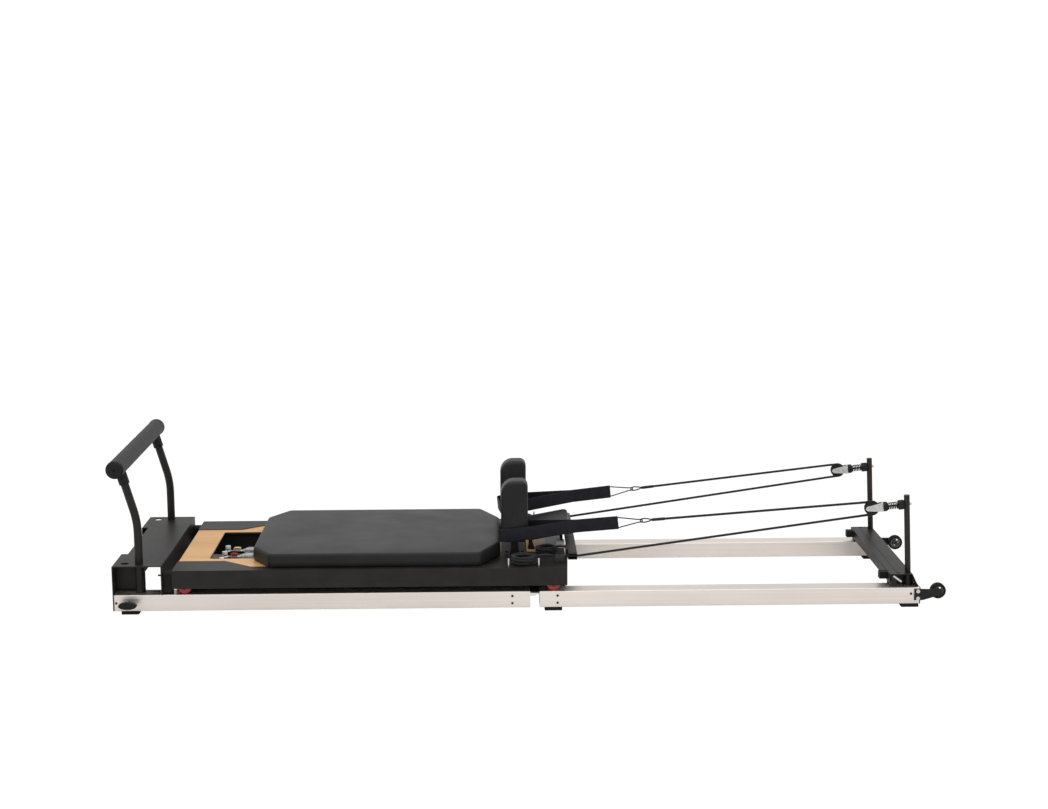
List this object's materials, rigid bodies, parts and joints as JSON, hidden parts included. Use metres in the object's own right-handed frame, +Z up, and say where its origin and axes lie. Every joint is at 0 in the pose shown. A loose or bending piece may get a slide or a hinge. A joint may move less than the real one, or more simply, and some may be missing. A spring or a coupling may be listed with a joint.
{
  "type": "pilates reformer",
  "caption": "Low folding pilates reformer: sprung carriage with padded bed, shoulder rests, headrest, loop straps on ropes over stand-up pulleys, and a plug-in foot bar.",
  "frame": {"origin": "centre of the overall plan at floor level, midway between the foot platform's outer face and the transport wheels' far edge", "axes": "+X from the foot bar towards the head end, -Y the near side with the foot bar on its left, +Z up"},
  "size_m": [2.376, 0.666, 0.452],
  "materials": {
    "aluminium": "satin anodised",
    "steel_black": "black powder coat",
    "plastic_black": "moulded",
    "rubber": "moulded",
    "steel_bright": "zinc plated",
    "wheel_red": "polyurethane",
    "wood": "clear lacquer",
    "vinyl": "black vinyl cover over foam",
    "foam": "foam grip",
    "plastic_white": "moulded",
    "webbing": "woven polyester",
    "rope": "braided polyester"
  },
  "bodies": {
    "frame": {"rails_foot": "aluminium", "rails_head": "aluminium", "fold_hinges": "aluminium", "hinge_caps": "plastic_black", "frame_screws": "steel_bright", "rubber_feet": "rubber", "foot_platform": "steel_black", "bumpers": "rubber", "socket_blocks": "plastic_black", "spring_bar": "steel_black", "spring_knobs": "plastic_white", "spring_tabs": "webbing", "springs": "steel_bright", "head_platform": "steel_black", "head_braces": "steel_bright", "wheel_brackets": "steel_black", "rope_near": "rope", "rope_far": "rope"},
    "knob_near": {"knob_near": "plastic_black"},
    "knob_far": {"knob_far": "plastic_black"},
    "footbar": {"footbar_frame": "steel_black", "footbar_collars": "plastic_black", "footbar_grip": "foam", "footbar_caps": "plastic_black"},
    "transport_wheel_near": {"transport_wheel_near": "rubber"},
    "transport_wheel_far": {"transport_wheel_far": "rubber"},
    "carriage": {"carriage_beams": "steel_black", "deck_board": "wood", "main_pad": "vinyl", "cross_members": "steel_black", "inner_beams": "steel_black", "wheel_axles": "steel_bright", "side_guides": "plastic_black", "end_bar": "steel_black", "rope_fittings": "plastic_black", "shoulder_sockets": "steel_black", "headrest_mounts": "plastic_white", "strap_near": "webbing", "strap_far": "webbing", "strap_cords": "rope", "snap_links": "steel_bright", "rope_coils": "rope"},
    "headrest": {"headrest_board": "plastic_white", "headrest_pad": "vinyl"},
    "load_wheel_foot_near": {"load_wheel_foot_near": "wheel_red"},
    "load_wheel_foot_far": {"load_wheel_foot_far": "wheel_red"},
    "load_wheel_head_near": {"load_wheel_head_near": "wheel_red"},
    "load_wheel_head_far": {"load_wheel_head_far": "wheel_red"},
    "shoulder_rest_near": {"shoulder_post_near": "steel_black", "shoulder_pad_near": "vinyl"},
    "riser_near": {"riser_near": "steel_black", "pulley_mount_near": "plastic_black", "pulley_cheeks_near": "steel_bright"},
    "sheave_near": {"sheave_near": "plastic_black"},
    "shoulder_rest_far": {"shoulder_post_far": "steel_black", "shoulder_pad_far": "vinyl"},
    "riser_far": {"riser_far": "steel_black", "pulley_mount_far": "plastic_black", "pulley_cheeks_far": "steel_bright"},
    "sheave_far": {"sheave_far": "plastic_black"}
  },
  "joints": [
    {"name": "carriage_slide", "type": "slide", "parent": "frame", "child": "carriage", "axis": [1, 0, 0], "range_m": [0, 0.9], "stiffness_N_per_m": 400, "deforming": ["springs", "rope_near", "rope_far"]},
    {"name": "load_wheel_foot_near_roll", "type": "hinge", "parent": "carriage", "child": "load_wheel_foot_near", "pos_m": [-0.986, -0.28, 0.0781], "axis": [0, 1, 0], "continuous": true},
    {"name": "load_wheel_foot_far_roll", "type": "hinge", "parent": "carriage", "child": "load_wheel_foot_far", "pos_m": [-0.986, 0.28, 0.0781], "axis": [0, 1, 0], "continuous": true},
    {"name": "load_wheel_head_near_roll", "type": "hinge", "parent": "carriage", "child": "load_wheel_head_near", "pos_m": [0.063, -0.28, 0.0781], "axis": [0, 1, 0], "continuous": true},
    {"name": "load_wheel_head_far_roll", "type": "hinge", "parent": "carriage", "child": "load_wheel_head_far", "pos_m": [0.063, 0.28, 0.0781], "axis": [0, 1, 0], "continuous": true},
    {"name": "footbar_lift", "type": "slide", "parent": "frame", "child": "footbar", "axis": [0, 0, 1], "range_m": [0, 0.15]},
    {"name": "clamp_knob_near_turn", "type": "hinge", "parent": "frame", "child": "knob_near", "pos_m": [-1.142, -0.315, 0.0345], "axis": [0, 1, 0], "range_deg": [0, 180]},
    {"name": "transport_wheel_near_roll", "type": "hinge", "parent": "frame", "child": "transport_wheel_near", "pos_m": [1.1655, -0.28, 0.0445], "axis": [0, 1, 0], "continuous": true},
    {"name": "shoulder_rest_near_lift", "type": "slide", "parent": "carriage", "child": "shoulder_rest_near", "axis": [0, 0, 1], "range_m": [0, 0.07]},
    {"name": "riser_near_lift", "type": "slide", "parent": "frame", "child": "riser_near", "axis": [-0.0454, 0, 0.999], "range_m": [0, 0.09], "deforming": ["rope_near"]},
    {"name": "sheave_near_spin", "type": "hinge", "parent": "riser_near", "child": "sheave_near", "pos_m": [0.973, -0.26, 0.284], "axis": [0, 1, 0], "continuous": true},
    {"name": "clamp_knob_far_turn", "type": "hinge", "parent": "frame", "child": "knob_far", "pos_m": [-1.142, 0.315, 0.0345], "axis": [0, 1, 0], "range_deg": [0, 180]},
    {"name": "transport_wheel_far_roll", "type": "hinge", "parent": "frame", "child": "transport_wheel_far", "pos_m": [1.1655, 0.28, 0.0445], "axis": [0, 1, 0], "continuous": true},
    {"name": "shoulder_rest_far_lift", "type": "slide", "parent": "carriage", "child": "shoulder_rest_far", "axis": [0, 0, 1], "range_m": [0, 0.07]},
    {"name": "riser_far_lift", "type": "slide", "parent": "frame", "child": "riser_far", "axis": [-0.0454, 0, 0.999], "range_m": [0, 0.09], "deforming": ["rope_far"]},
    {"name": "sheave_far_spin", "type": "hinge", "parent": "riser_far", "child": "sheave_far", "pos_m": [0.973, 0.26, 0.284], "axis": [0, 1, 0], "continuous": true},
    {"name": "headrest_tilt", "type": "hinge", "parent": "carriage", "child": "headrest", "pos_m": [0.002, 0, 0.1523], "axis": [0, -1, 0], "range_deg": [-10.4, 14]}
  ],
  "couplings": [
    {"joint": "load_wheel_foot_near_roll", "follows": "carriage_slide", "rad_per_m": 50},
    {"joint": "load_wheel_foot_far_roll", "follows": "carriage_slide", "rad_per_m": 50},
    {"joint": "load_wheel_head_near_roll", "follows": "carriage_slide", "rad_per_m": 50},
    {"joint": "load_wheel_head_far_roll", "follows": "carriage_slide", "rad_per_m": 50}
  ]
}
